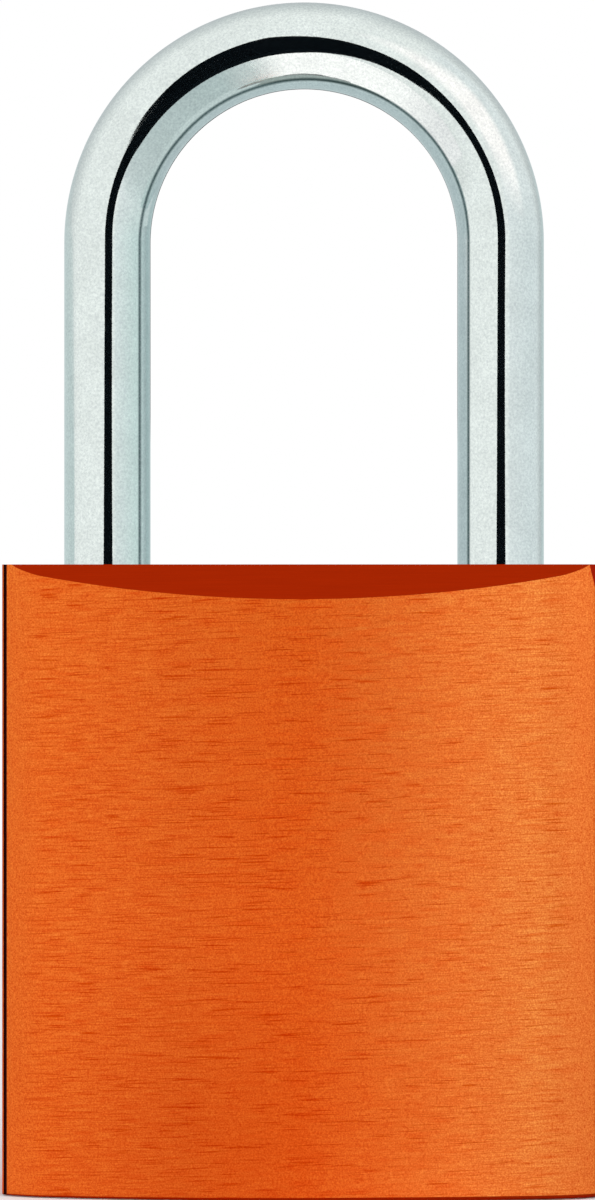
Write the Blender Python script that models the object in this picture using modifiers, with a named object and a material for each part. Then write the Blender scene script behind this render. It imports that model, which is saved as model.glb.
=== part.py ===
"""Safety padlock with a pin tumbler cylinder, a spiral cam and two locking bolts.

Metres, +Z up. The origin is the middle of the base, the front face looks along -Y, and the heel leg is at -X.
It stands closed, with the plug turned to its open place, so the bolts are drawn in and the shackle can lift.
"""

import math

import bmesh
import bpy
from mathutils import Matrix, Vector

MM = 0.001

# Body: an extruded block with crowned faces and a plane chamfer along its two top edges
BODY_WIDTH = 30.6 * MM
BODY_DEPTH = 14.5 * MM
BODY_HEIGHT = 32.3 * MM
FACE_CROWN = 2.0 * MM
TOP_HALF_DEPTH = 5.15 * MM
CHAMFER_DROP = 1.78 * MM
CORNER_RADIUS = 0.45 * MM
BASE_EDGE_BREAK = 0.25 * MM
CROWN_SEGMENTS = 24

# Shackle: a round bar bent to a U
ROD_RADIUS = 2.25 * MM
CLEAR_WIDTH = 16.0 * MM
CLEAR_HEIGHT = 24.8 * MM
BORE_GAP = 0.25 * MM
SHACKLE_LIFT = 8.1 * MM
LEG_X = CLEAR_WIDTH / 2 + ROD_RADIUS
BOW_Z = BODY_HEIGHT + CLEAR_HEIGHT - CLEAR_WIDTH / 2
BORE_RADIUS = ROD_RADIUS + BORE_GAP
BORE_EDGE_BREAK = 0.25 * MM
BOW_SEGMENTS = 28

# Locking bolts, the notches they enter and the turned neck of the heel leg
BOLT_Z = 28.0 * MM
BOLT_RADIUS = 1.4 * MM
BOLT_TRAVEL = 1.1 * MM
BOLT_DRAWN_REACH = 2.45 * MM
NOTCH_DEPTH = 1.1 * MM
NOTCH_HALF_HEIGHT = 1.7 * MM
NOTCH_LEDGE = 1.7 * MM
NECK_RADIUS = 1.2 * MM
NECK_TOP = 22.4 * MM
COLLAR_LENGTH = 1.8 * MM
TOE_END = BOLT_Z - NOTCH_HALF_HEIGHT - NOTCH_LEDGE
TOE_FLOOR = TOE_END - 0.4 * MM
LEG_END_BREAK = 0.45 * MM

# Retaining pin: pressed through the wall between the cam chamber and the heel bore
PIN_Z = 21.2 * MM
PIN_RADIUS = 0.8 * MM
COLLAR_TOP = PIN_Z - PIN_RADIUS - SHACKLE_LIFT - 0.2 * MM
HEEL_END = COLLAR_TOP - COLLAR_LENGTH
HEEL_FLOOR = 3.0 * MM

# Cylinder case: a barrel with a pin tower, pushed into the body from below
PLUG_X = -1.5 * MM
CASE_BASE = 0.3 * MM
CASE_TOP = 20.2 * MM
BARREL_RADIUS = 5.1 * MM
TOWER_HALF_WIDTH = 2.6 * MM
TOWER_END = 11.5 * MM
TOWER_CORNER = 0.8 * MM
CASE_GAP = 0.2 * MM
CHAMBER_RADIUS = 1.25 * MM
FIRST_PIN_Z = 3.9 * MM
PIN_PITCH = 3.1 * MM
PIN_COUNT = 5

# Plug: turned, with a head flange at the base, a clip groove and a tang at the top
PLUG_RADIUS = 4.0 * MM
PLUG_GAP = 0.2 * MM
HEAD_RADIUS = 4.5 * MM
HEAD_TOP = 1.3 * MM
GROOVE_RADIUS = 3.2 * MM
GROOVE_BASE = 20.4 * MM
GROOVE_TOP = 21.2 * MM
TAIL_RADIUS = 3.8 * MM
TAIL_TOP = 21.8 * MM
TANG_TOP = 23.0 * MM
TANG_WIDTH = 1.6 * MM
TANG_LENGTH = 5.0 * MM
KEYWAY_TOP = 19.2 * MM
CHAMBER_FLOOR = -0.4 * MM

# Pins and springs: the key pins lie in the plug, the driver pins and their springs in the tower
TUMBLER_RADIUS = 1.05 * MM
TUMBLER_BREAK = 0.15 * MM
KEY_PIN_TOP = 3.85 * MM
KEY_PIN_LENGTHS = [2.4 * MM, 3.1 * MM, 2.7 * MM, 3.3 * MM, 2.5 * MM]
KEY_PIN_TIP = 0.5 * MM
DRIVER_LENGTH = 3.4 * MM
DRIVER_WAIST = 0.8 * MM
SPRING_GAP = 0.2 * MM
DRIVER_WIRE = 0.13 * MM
DRIVER_COIL_RADIUS = 0.82 * MM
DRIVER_TURNS = 4.5
COVER_INNER = 10.6 * MM
COVER_OUTER = 11.35 * MM
COVER_HALF_WIDTH = 1.45 * MM
COVER_BASE = 2.4 * MM
COVER_TOP = 17.9 * MM

# Cam plate: a disc over the plug's tang, with two spiral grooves in its upper face
CAM_RADIUS = 4.6 * MM
CAM_BASE = 22.1 * MM
CAM_TOP = 25.0 * MM
CAM_SLOT_TOP = 23.3 * MM
CAM_GROOVE_FLOOR = 23.8 * MM
CAM_GROOVE_HALF_WIDTH = 0.85 * MM
POST_RADIUS = 0.6 * MM
POST_END = 24.1 * MM
POST_DRAWN_RADIUS = 2.2 * MM
CAM_TURN = math.radians(90)
CAM_GROOVE_OVERRUN = math.radians(5)
CAM_CHAMBER_RADIUS = 4.9 * MM
CAM_CHAMBER_TOP = 27.0 * MM
BOLT_TAIL = 1.1 * MM

# Clip on the plug's tail, screw that holds the case, and spring under the heel leg
CLIP_INNER_RADIUS = 3.35 * MM
CLIP_OUTER_RADIUS = 4.5 * MM
CLIP_BASE = 20.5 * MM
CLIP_TOP = 21.1 * MM
CLIP_HALF_OPENING = math.radians(42)
SCREW_X = 9.4 * MM
SCREW_HEAD_RADIUS = 1.6 * MM
SCREW_HEAD_BASE = 22.6 * MM
SCREW_HEAD_TOP = 24.0 * MM
SCREW_RADIUS = 1.0 * MM
SCREW_END = 18.2 * MM
SCREW_GAP = 0.15 * MM
SHACKLE_WIRE = 0.25 * MM
SHACKLE_COIL_RADIUS = 1.65 * MM
SHACKLE_TURNS = 6
LEAST_COIL_GAP = 0.4 * MM

BORE_SEGMENTS = 32
PIN_SEGMENTS = 16
ALONG_X = (0, math.radians(90), 0)
ALONG_Y = (math.radians(-90), 0, 0)


def clear_scene():
    for obj in list(bpy.data.objects):
        bpy.data.objects.remove(obj)


def new_collection(name):
    collection = bpy.data.collections.new(name)
    bpy.context.scene.collection.children.link(collection)
    return collection


clear_scene()
PARTS = new_collection("safety_padlock")
CUTTERS = new_collection("cutters")


def finish(name, colour, roughness, metallic):
    """A plain metal finish, colour in linear light."""
    material = bpy.data.materials.new(name)
    material.use_nodes = True
    shader = material.node_tree.nodes["Principled BSDF"]
    shader.inputs["Base Color"].default_value = (*colour, 1)
    shader.inputs["Roughness"].default_value = roughness
    shader.inputs["Metallic"].default_value = metallic
    material.diffuse_color = (*colour, 1)
    return material


ORANGE_ANODISED = finish("orange_anodised", (0.72, 0.105, 0.012), 0.38, 0.9)
CHROME = finish("chrome", (0.80, 0.82, 0.81), 0.12, 1.0)
NICKEL_BRASS = finish("nickel_brass", (0.66, 0.62, 0.54), 0.28, 1.0)
BRASS = finish("brass", (0.70, 0.50, 0.20), 0.3, 1.0)
STEEL = finish("steel", (0.48, 0.49, 0.50), 0.35, 1.0)
SPRING_STEEL = finish("spring_steel", (0.36, 0.36, 0.37), 0.4, 1.0)


def added(name, data, material=None):
    """A part when it has a material, otherwise a hidden cutter."""
    obj = bpy.data.objects.new(name, data)
    if material:
        data.materials.append(material)
        PARTS.objects.link(obj)
    else:
        CUTTERS.objects.link(obj)
        obj.hide_render = True
        obj.display_type = "WIRE"
    return obj


def from_bmesh(name, bm, material=None):
    mesh = bpy.data.meshes.new(name)
    bm.to_mesh(mesh)
    bm.free()
    return added(name, mesh, material)


def cylinder(name, radius, low, high, material=None, segments=BORE_SEGMENTS):
    """A round bar along Z from low to high."""
    bm = bmesh.new()
    bmesh.ops.create_cone(
        bm, cap_ends=True, segments=segments, radius1=radius, radius2=radius, depth=high - low
    )
    bmesh.ops.translate(bm, verts=bm.verts, vec=(0, 0, (low + high) / 2))
    return from_bmesh(name, bm, material)


def box(name, low, high, material=None, edge_break=0.0):
    size = Vector(high) - Vector(low)
    bm = bmesh.new()
    bmesh.ops.create_cube(bm, size=1)
    bmesh.ops.scale(bm, verts=bm.verts, vec=size)
    bmesh.ops.translate(bm, verts=bm.verts, vec=(Vector(low) + Vector(high)) / 2)
    if edge_break:
        bmesh.ops.bevel(
            bm, geom=list(bm.edges), offset=edge_break, segments=1, affect="EDGES", profile=0.5
        )
    return from_bmesh(name, bm, material)


def turned(name, profile, material=None, steps=BORE_SEGMENTS):
    """A turned shape: the profile of (radius, z) points runs down its outer side, from axis to axis."""
    mesh = bpy.data.meshes.new(name)
    points = [(radius, 0, z) for radius, z in profile]
    mesh.from_pydata(points, [(i, i + 1) for i in range(len(points) - 1)], [])
    obj = added(name, mesh, material)
    screw = obj.modifiers.new("turn", "SCREW")
    screw.steps = steps
    screw.render_steps = steps
    screw.use_merge_vertices = True
    screw.merge_threshold = 0.00001
    return obj


def meshed(curve, material=None):
    """The curve's evaluated shape as a closed mesh object of the same name and place."""
    bpy.context.view_layer.update()
    shape = bpy.data.meshes.new_from_object(curve.evaluated_get(bpy.context.evaluated_depsgraph_get()))
    name = curve.name
    bpy.data.objects.remove(curve)
    bm = bmesh.new()
    bm.from_mesh(shape)
    bpy.data.meshes.remove(shape)
    bmesh.ops.remove_doubles(bm, verts=bm.verts, dist=0.000001)
    bmesh.ops.dissolve_limit(bm, angle_limit=math.radians(0.1), verts=bm.verts, edges=bm.edges)
    bmesh.ops.recalc_face_normals(bm, faces=bm.faces)
    return from_bmesh(name, bm, material)


def extruded(name, outline, low, high, material=None):
    """A flat outline of (x, y) points, raised from low to high."""
    curve = bpy.data.curves.new(name, "CURVE")
    curve.dimensions = "2D"
    curve.fill_mode = "BOTH"
    curve.extrude = (high - low) / 2
    spline = curve.splines.new("POLY")
    spline.points.add(len(outline) - 1)
    for point, (x, y) in zip(spline.points, outline):
        point.co = (x, y, 0, 1)
    spline.use_cyclic_u = True
    guide = bpy.data.objects.new(name, curve)
    PARTS.objects.link(guide)
    obj = meshed(guide, material)
    obj.data.transform(Matrix.Translation((0, 0, (low + high) / 2)))
    return obj


def bar(name, points, radius, sides, material):
    """A round bar or wire through the points, with closed ends."""
    curve = bpy.data.curves.new(name, "CURVE")
    curve.dimensions = "3D"
    curve.bevel_depth = radius
    curve.bevel_resolution = (sides - 4) // 2
    curve.use_fill_caps = True
    spline = curve.splines.new("POLY")
    spline.points.add(len(points) - 1)
    for point, place in zip(spline.points, points):
        point.co = (*place, 1)
    return added(name, curve, material)


def boolean(obj, tool, operation):
    modifier = obj.modifiers.new(tool.name, "BOOLEAN")
    modifier.operation = operation
    modifier.object = tool
    return obj


def cut(obj, *tools):
    for tool in tools:
        boolean(obj, tool, "DIFFERENCE")
    return obj


def placed(obj, x=0.0, y=0.0, z=0.0, turn=(0, 0, 0)):
    obj.location = (x, y, z)
    obj.rotation_euler = turn
    return obj


def smooth(obj, angle=35):
    """Smooth shading that keeps the edges sharper than the angle."""
    if obj.type == "MESH" and obj.data.polygons:
        obj.data.shade_smooth()
        obj.data.set_sharp_from_angle(angle=math.radians(angle))
    return obj


def arc(centre, radius, start, end, segments):
    """Points on an arc in the plan, both ends included."""
    return [
        (
            centre[0] + radius * math.cos(start + (end - start) * i / segments),
            centre[1] + radius * math.sin(start + (end - start) * i / segments),
        )
        for i in range(segments + 1)
    ]


def pin_heights():
    return [FIRST_PIN_Z + PIN_PITCH * i for i in range(PIN_COUNT)]


def case_outline(grow):
    """The barrel and its tower in the plan, about the plug's axis, grown by a gap on all sides."""
    radius = BARREL_RADIUS + grow
    half_width = TOWER_HALF_WIDTH + grow
    end = TOWER_END - PLUG_X + grow
    corner = TOWER_CORNER + grow
    root = math.asin(half_width / radius)
    quarter = math.radians(90)
    return (
        arc((0, 0), radius, root, 2 * math.pi - root, 40)
        + arc((end - corner, corner - half_width), corner, -quarter, 0, 4)
        + arc((end - corner, half_width - corner), corner, 0, quarter, 4)
    )


def body_block():
    """The extruded block: crowned faces, rounded corners, base edge break and the two top chamfers."""
    half_width = BODY_WIDTH / 2
    crown_radius = (half_width**2 + FACE_CROWN**2) / (2 * FACE_CROWN)
    sweep = math.asin(half_width / crown_radius)
    centre_y = crown_radius - BODY_DEPTH / 2
    down = math.radians(-90)
    front = arc((0, centre_y), crown_radius, down - sweep, down + sweep, CROWN_SEGMENTS)
    back = [(-x, -y) for x, y in front]
    block = extruded("body", front + back, 0, BODY_HEIGHT, ORANGE_ANODISED)

    bm = bmesh.new()
    bm.from_mesh(block.data)
    corners = [
        edge
        for edge in bm.edges
        if all(abs(abs(v.co.x) - half_width) < 0.001 * MM for v in edge.verts)
        and abs(edge.verts[0].co.z - edge.verts[1].co.z) > 1 * MM
    ]
    bmesh.ops.bevel(bm, geom=corners, offset=CORNER_RADIUS, segments=3, affect="EDGES", profile=0.5)
    base_rim = [edge for edge in bm.edges if all(abs(v.co.z) < 0.001 * MM for v in edge.verts)]
    bmesh.ops.bevel(bm, geom=base_rim, offset=BASE_EDGE_BREAK, segments=1, affect="EDGES", profile=0.5)
    slope_depth = BODY_DEPTH / 2 - TOP_HALF_DEPTH
    for side in (-1, 1):
        trimmed = bmesh.ops.bisect_plane(
            bm,
            geom=bm.verts[:] + bm.edges[:] + bm.faces[:],
            dist=0.000001,
            plane_co=(0, side * TOP_HALF_DEPTH, BODY_HEIGHT),
            plane_no=(0, side * CHAMFER_DROP, slope_depth),
            clear_outer=True,
        )
        rim = [item for item in trimmed["geom_cut"] if isinstance(item, bmesh.types.BMEdge)]
        bmesh.ops.edgenet_fill(bm, edges=rim)
    bmesh.ops.recalc_face_normals(bm, faces=bm.faces)
    bm.to_mesh(block.data)
    bm.free()
    return block


def bore_cutter(name, x, floor):
    """A leg bore with a small edge break at its mouth."""
    mouth = BORE_RADIUS + BORE_EDGE_BREAK
    above = BODY_HEIGHT + 1 * MM
    profile = [
        (0, above),
        (mouth, above),
        (mouth, BODY_HEIGHT),
        (BORE_RADIUS, BODY_HEIGHT - BORE_EDGE_BREAK),
        (BORE_RADIUS, floor),
        (0, floor),
    ]
    return placed(turned(name, profile), x)


def make_body():
    block = body_block()
    well = placed(extruded("cut_case_well", case_outline(CASE_GAP), -1 * MM, CASE_TOP + CASE_GAP), PLUG_X)
    chamber = placed(
        cylinder("cut_cam_chamber", CAM_CHAMBER_RADIUS, CASE_TOP, CAM_CHAMBER_TOP, segments=40), PLUG_X
    )
    cross_radius = BOLT_RADIUS + 0.2 * MM
    cross = placed(
        cylinder("cut_bolt_bore", cross_radius, -LEG_X, LEG_X, segments=24), z=BOLT_Z, turn=ALONG_X
    )
    pin_hole = placed(
        cylinder("cut_pin_hole", PIN_RADIUS + 0.1 * MM, -LEG_X, PLUG_X, segments=PIN_SEGMENTS),
        z=PIN_Z,
        turn=ALONG_X,
    )
    seat_radius = SCREW_HEAD_RADIUS + 0.2 * MM
    seat = SCREW_HEAD_BASE - 0.2 * MM
    shank_radius = SCREW_RADIUS + SCREW_GAP
    screw_hole = placed(
        turned(
            "cut_screw_hole",
            [
                (0, TOE_FLOOR + 0.5 * MM),
                (seat_radius, TOE_FLOOR + 0.5 * MM),
                (seat_radius, seat),
                (shank_radius, seat),
                (shank_radius, CASE_TOP),
                (0, CASE_TOP),
            ],
            steps=24,
        ),
        SCREW_X,
    )
    heel = bore_cutter("cut_heel_bore", -LEG_X, HEEL_FLOOR)
    toe = bore_cutter("cut_toe_bore", LEG_X, TOE_FLOOR)
    cut(block, well, chamber, heel, toe, cross, pin_hole, screw_hole)
    return smooth(block, 20)


def make_shackle():
    """The bent bar, with both legs notched for the bolts and the heel leg turned down to a neck."""
    bow = arc((0, BOW_Z), LEG_X, math.pi, 0, BOW_SEGMENTS)
    path = [(-LEG_X, 0, HEEL_END)] + [(x, 0, z) for x, z in bow] + [(LEG_X, 0, TOE_END)]
    shackle = meshed(bar("shackle", path, ROD_RADIUS, 28, CHROME), CHROME)
    bm = bmesh.new()
    bm.from_mesh(shackle.data)
    for end in (HEEL_END, TOE_END):
        rim = [edge for edge in bm.edges if all(abs(v.co.z - end) < 0.001 * MM for v in edge.verts)]
        bmesh.ops.bevel(bm, geom=rim, offset=LEG_END_BREAK, segments=2, affect="EDGES", profile=0.5)
    bm.to_mesh(shackle.data)
    bm.free()
    for name, side in (("cut_heel_notch", -1), ("cut_toe_notch", 1)):
        floor = side * (LEG_X - ROD_RADIUS + NOTCH_DEPTH)
        mouth = side * (LEG_X - ROD_RADIUS - 1 * MM)
        notch = box(
            name,
            (min(floor, mouth), -BORE_RADIUS, BOLT_Z - NOTCH_HALF_HEIGHT),
            (max(floor, mouth), BORE_RADIUS, BOLT_Z + NOTCH_HALF_HEIGHT),
        )
        cut(shackle, notch)
    outside = ROD_RADIUS + 0.5 * MM
    fillet = 0.4 * MM
    waste = turned(
        "cut_heel_neck",
        [
            (NECK_RADIUS + fillet, NECK_TOP),
            (outside, NECK_TOP),
            (outside, COLLAR_TOP),
            (NECK_RADIUS + fillet, COLLAR_TOP),
            (NECK_RADIUS, COLLAR_TOP + fillet),
            (NECK_RADIUS, NECK_TOP - fillet),
            (NECK_RADIUS + fillet, NECK_TOP),
        ],
        steps=28,
    )
    cut(shackle, placed(waste, -LEG_X))
    return smooth(shackle)


def make_case():
    """Barrel and pin tower: plug bore with a seat for the head, five chambers, cover recess, screw hole."""
    case = extruded("cylinder_case", case_outline(0), CASE_BASE, CASE_TOP, NICKEL_BRASS)
    placed(case, PLUG_X)
    bore = PLUG_RADIUS + PLUG_GAP
    seat = HEAD_RADIUS + PLUG_GAP
    seat_top = HEAD_TOP + PLUG_GAP
    plug_bore = turned(
        "cut_plug_bore",
        [
            (0, CASE_TOP + 1 * MM),
            (bore, CASE_TOP + 1 * MM),
            (bore, seat_top),
            (seat, seat_top),
            (seat, CASE_BASE - 1 * MM),
            (0, CASE_BASE - 1 * MM),
        ],
        steps=40,
    )
    cut(case, placed(plug_bore, PLUG_X))
    for number, height in enumerate(pin_heights(), 1):
        chamber = cylinder(f"cut_chamber_{number}", CHAMBER_RADIUS, PLUG_X, TOWER_END, segments=PIN_SEGMENTS)
        cut(case, placed(chamber, z=height, turn=ALONG_X))
    recess = box(
        "cut_cover_recess",
        (COVER_INNER - 0.1 * MM, -COVER_HALF_WIDTH - 0.2 * MM, COVER_BASE - 0.2 * MM),
        (TOWER_END + 1 * MM, COVER_HALF_WIDTH + 0.2 * MM, COVER_TOP + 0.2 * MM),
    )
    shank = cylinder(
        "cut_screw_thread", SCREW_RADIUS + SCREW_GAP, SCREW_END - 0.2 * MM, CASE_TOP + 1 * MM, segments=24
    )
    cut(case, recess, placed(shank, SCREW_X))
    return smooth(case)


def keyway_outline():
    """The keyway's section, with the wards that guide a key: half widths on each side by height."""
    right = [(0.55, 2.3), (0.55, 0.9), (0.95, 0.9), (0.95, -0.3), (0.35, -0.3), (0.35, -1.2), (0.8, -1.2)]
    left = [(-0.95, -3.2), (-0.95, -2.1), (-0.45, -2.1), (-0.45, -0.7), (-0.85, -0.7), (-0.85, 0.4)]
    corners = right + [(0.8, -3.2)] + left + [(-0.55, 0.4), (-0.55, 2.3)]
    return [(x * MM, y * MM) for x, y in corners]


def make_plug(axis):
    profile = [
        (0, TAIL_TOP),
        (TAIL_RADIUS, TAIL_TOP),
        (TAIL_RADIUS, GROOVE_TOP),
        (GROOVE_RADIUS, GROOVE_TOP),
        (GROOVE_RADIUS, GROOVE_BASE),
        (PLUG_RADIUS, GROOVE_BASE),
        (PLUG_RADIUS, HEAD_TOP),
        (HEAD_RADIUS, HEAD_TOP),
        (HEAD_RADIUS, CASE_BASE + TUMBLER_BREAK),
        (HEAD_RADIUS - TUMBLER_BREAK, CASE_BASE),
        (0, CASE_BASE),
    ]
    plug = turned("plug", profile, BRASS, steps=40)
    tang = box(
        "join_plug_tang",
        (-TANG_WIDTH / 2, -TANG_LENGTH / 2, TAIL_TOP - 0.5 * MM),
        (TANG_WIDTH / 2, TANG_LENGTH / 2, TANG_TOP),
    )
    tools = [extruded("cut_keyway", keyway_outline(), -1 * MM, KEYWAY_TOP)]
    for number, height in enumerate(pin_heights(), 1):
        name = f"cut_plug_chamber_{number}"
        chamber = cylinder(name, CHAMBER_RADIUS, CHAMBER_FLOOR, PLUG_RADIUS + 1 * MM, segments=PIN_SEGMENTS)
        tools.append(placed(chamber, z=height, turn=ALONG_Y))
    boolean(plug, tang, "UNION")
    cut(plug, *tools)
    for obj in [plug, tang, *tools]:
        obj.parent = axis
    return smooth(plug)


def make_key_pins(axis):
    """Brass pins in the plug, flush with its surface at the top and pointed towards the key."""
    flat = TUMBLER_RADIUS - TUMBLER_BREAK
    for number, (length, height) in enumerate(zip(KEY_PIN_LENGTHS, pin_heights()), 1):
        profile = [
            (0, 0),
            (flat, 0),
            (TUMBLER_RADIUS, -TUMBLER_BREAK),
            (TUMBLER_RADIUS, KEY_PIN_TIP - length),
            (TUMBLER_RADIUS - KEY_PIN_TIP, -length),
            (0, -length),
        ]
        pin = turned(f"key_pin_{number}", profile, BRASS, steps=PIN_SEGMENTS)
        placed(pin, 0, KEY_PIN_TOP, height, ALONG_Y)
        pin.parent = axis


def make_driver_pins():
    """Steel pins with a drawn-in waist, resting on the plug inside the tower."""
    flat = TUMBLER_RADIUS - TUMBLER_BREAK
    waist_low = DRIVER_LENGTH * 0.3
    waist_high = DRIVER_LENGTH * 0.7
    profile = [
        (0, DRIVER_LENGTH),
        (flat, DRIVER_LENGTH),
        (TUMBLER_RADIUS, DRIVER_LENGTH - TUMBLER_BREAK),
        (TUMBLER_RADIUS, waist_high),
        (DRIVER_WAIST, waist_high - TUMBLER_BREAK),
        (DRIVER_WAIST, waist_low + TUMBLER_BREAK),
        (TUMBLER_RADIUS, waist_low),
        (TUMBLER_RADIUS, TUMBLER_BREAK),
        (flat, 0),
        (0, 0),
    ]
    for number, height in enumerate(pin_heights(), 1):
        pin = turned(f"driver_pin_{number}", profile, STEEL, steps=PIN_SEGMENTS)
        placed(pin, PLUG_X + PLUG_RADIUS + PLUG_GAP, 0, height, ALONG_X)


def helix(radius, low, high, turns, points_per_turn):
    steps = round(turns * points_per_turn)
    return [
        (
            radius * math.cos(2 * math.pi * i / points_per_turn),
            radius * math.sin(2 * math.pi * i / points_per_turn),
            low + (high - low) * i / steps,
        )
        for i in range(steps + 1)
    ]


def least_coil_gap(points, wire_radius, points_per_turn):
    """The least clear distance between the wire's centre points half a turn or more apart."""
    half = points_per_turn // 2
    nearest = min(
        (Vector(a) - Vector(b)).length for i, a in enumerate(points) for b in points[i + half :]
    )
    return nearest - 2 * wire_radius


def coil_spring(name, radius, wire, low, high, turns):
    """An open coil along Z, whose gap between turns is measured and printed."""
    points_per_turn = 8
    points = helix(radius, low + wire, high - wire, turns, points_per_turn)
    gap = least_coil_gap(points, wire, points_per_turn)
    print(f"{name}: least gap {gap / MM:.2f} mm, over {LEAST_COIL_GAP / MM:.1f}: {gap > LEAST_COIL_GAP}")
    return bar(name, points, wire, 6, SPRING_STEEL)


def make_driver_springs():
    start = PLUG_X + PLUG_RADIUS + PLUG_GAP + DRIVER_LENGTH + SPRING_GAP
    length = COVER_INNER - SPRING_GAP - start
    for number, height in enumerate(pin_heights(), 1):
        name = f"driver_spring_{number}"
        spring = coil_spring(name, DRIVER_COIL_RADIUS, DRIVER_WIRE, 0, length, DRIVER_TURNS)
        placed(spring, start, 0, height, ALONG_X)


def make_spring_cover():
    return box(
        "spring_cover",
        (COVER_INNER, -COVER_HALF_WIDTH, COVER_BASE),
        (COVER_OUTER, COVER_HALF_WIDTH, COVER_TOP),
        NICKEL_BRASS,
        edge_break=0.15 * MM,
    )


def make_plug_clip(axis):
    """An open spring clip, sprung into the groove behind the case."""
    start = math.pi + CLIP_HALF_OPENING
    end = 3 * math.pi - CLIP_HALF_OPENING
    outline = arc((0, 0), CLIP_OUTER_RADIUS, start, end, 28)
    outline += arc((0, 0), CLIP_INNER_RADIUS, end, start, 28)
    clip = extruded("plug_clip", outline, CLIP_BASE, CLIP_TOP, SPRING_STEEL)
    clip.parent = axis
    return smooth(clip)


def spiral_groove(start_angle):
    """A groove's outline: its radius grows by the bolt's travel over the quarter turn, with round ends."""
    rate = BOLT_TRAVEL / CAM_TURN
    steps = 14
    first = -CAM_GROOVE_OVERRUN
    last = CAM_TURN + CAM_GROOVE_OVERRUN
    outer = []
    inner = []
    for i in range(steps + 1):
        turn = first + (last - first) * i / steps
        radius = POST_DRAWN_RADIUS + rate * turn
        heading = Vector((math.cos(start_angle + turn), math.sin(start_angle + turn)))
        outer.append(tuple(heading * (radius + CAM_GROOVE_HALF_WIDTH)))
        inner.append(tuple(heading * (radius - CAM_GROOVE_HALF_WIDTH)))

    def round_end(turn, sense):
        radius = POST_DRAWN_RADIUS + rate * turn
        angle = start_angle + turn
        centre = (radius * math.cos(angle), radius * math.sin(angle))
        begin = angle if sense > 0 else angle + math.pi
        return arc(centre, CAM_GROOVE_HALF_WIDTH, begin, begin + math.pi, 8)[1:-1]

    return outer + round_end(last, 1) + inner[::-1] + round_end(first, -1)


def make_cam_plate(axis):
    """The disc that turns with the plug and draws both bolts in along its spiral grooves."""
    cam = cylinder("cam_plate", CAM_RADIUS, CAM_BASE, CAM_TOP, STEEL, segments=40)
    slack = 0.2 * MM
    tang_slot = box(
        "cut_tang_slot",
        (-TANG_WIDTH / 2 - slack, -TANG_LENGTH / 2 - slack, CAM_BASE - 1 * MM),
        (TANG_WIDTH / 2 + slack, TANG_LENGTH / 2 + slack, CAM_SLOT_TOP),
    )
    above = CAM_TOP + 1 * MM
    heel = extruded("cut_heel_groove", spiral_groove(math.pi), CAM_GROOVE_FLOOR, above)
    toe = extruded("cut_toe_groove", spiral_groove(0), CAM_GROOVE_FLOOR, above)
    cut(cam, tang_slot, heel, toe)
    for obj in (cam, tang_slot, heel, toe):
        obj.parent = axis
    return smooth(cam)


def make_bolt(name, side):
    """A round bolt with a broken tip edge, and the drive post that runs in its groove."""
    post_x = PLUG_X + side * POST_DRAWN_RADIUS
    tip = side * (LEG_X - BOLT_DRAWN_REACH)
    reach = abs(tip - post_x)
    tip_break = 0.4 * MM
    profile = [
        (0, reach),
        (BOLT_RADIUS - tip_break, reach),
        (BOLT_RADIUS, reach - tip_break),
        (BOLT_RADIUS, -BOLT_TAIL),
        (0, -BOLT_TAIL),
    ]
    bolt = turned(name, profile, STEEL, steps=24)
    placed(bolt, post_x, 0, BOLT_Z, (0, side * math.radians(90), 0))
    post = cylinder(f"join_{name}_post", POST_RADIUS, POST_END, BOLT_Z, segments=PIN_SEGMENTS)
    placed(post, post_x)
    boolean(bolt, post, "UNION")
    return smooth(bolt)


def make_shackle_spring():
    spring = coil_spring(
        "shackle_spring",
        SHACKLE_COIL_RADIUS,
        SHACKLE_WIRE,
        HEEL_FLOOR + SPRING_GAP,
        HEEL_END - SPRING_GAP,
        SHACKLE_TURNS,
    )
    return placed(spring, -LEG_X)


def make_retaining_pin():
    """Pressed in from the cam chamber, its nose reaching past the collar's edge beside the neck."""
    inner = PLUG_X - CAM_CHAMBER_RADIUS - 0.1 * MM
    nose = -LEG_X + NECK_RADIUS + 0.2 * MM
    length = inner - nose
    profile = [
        (0, length),
        (PIN_RADIUS - TUMBLER_BREAK, length),
        (PIN_RADIUS, length - TUMBLER_BREAK),
        (PIN_RADIUS, TUMBLER_BREAK),
        (PIN_RADIUS - TUMBLER_BREAK, 0),
        (0, 0),
    ]
    pin = turned("shackle_retaining_pin", profile, STEEL, steps=PIN_SEGMENTS)
    return smooth(placed(pin, nose, 0, PIN_Z, ALONG_X))


def make_cylinder_screw():
    """Cheese-head screw with a driver slot, down through the floor of the toe bore into the tower."""
    crown = 0.2 * MM
    profile = [
        (0, SCREW_HEAD_TOP),
        (SCREW_HEAD_RADIUS - crown, SCREW_HEAD_TOP),
        (SCREW_HEAD_RADIUS, SCREW_HEAD_TOP - crown),
        (SCREW_HEAD_RADIUS, SCREW_HEAD_BASE),
        (SCREW_RADIUS, SCREW_HEAD_BASE),
        (SCREW_RADIUS, SCREW_END + crown),
        (SCREW_RADIUS - crown, SCREW_END),
        (0, SCREW_END),
    ]
    screw = placed(turned("cylinder_screw", profile, STEEL, steps=24), SCREW_X)
    slot_depth = 0.6 * MM
    slot_half_width = 0.25 * MM
    slot = box(
        "cut_screw_slot",
        (-2 * MM, -slot_half_width, SCREW_HEAD_TOP - slot_depth),
        (2 * MM, slot_half_width, SCREW_HEAD_TOP + 1 * MM),
    )
    cut(screw, placed(slot, SCREW_X))
    return smooth(screw)


plug_axis = bpy.data.objects.new("plug_axis", None)
plug_axis.location = (PLUG_X, 0, 0)
PARTS.objects.link(plug_axis)

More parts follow.
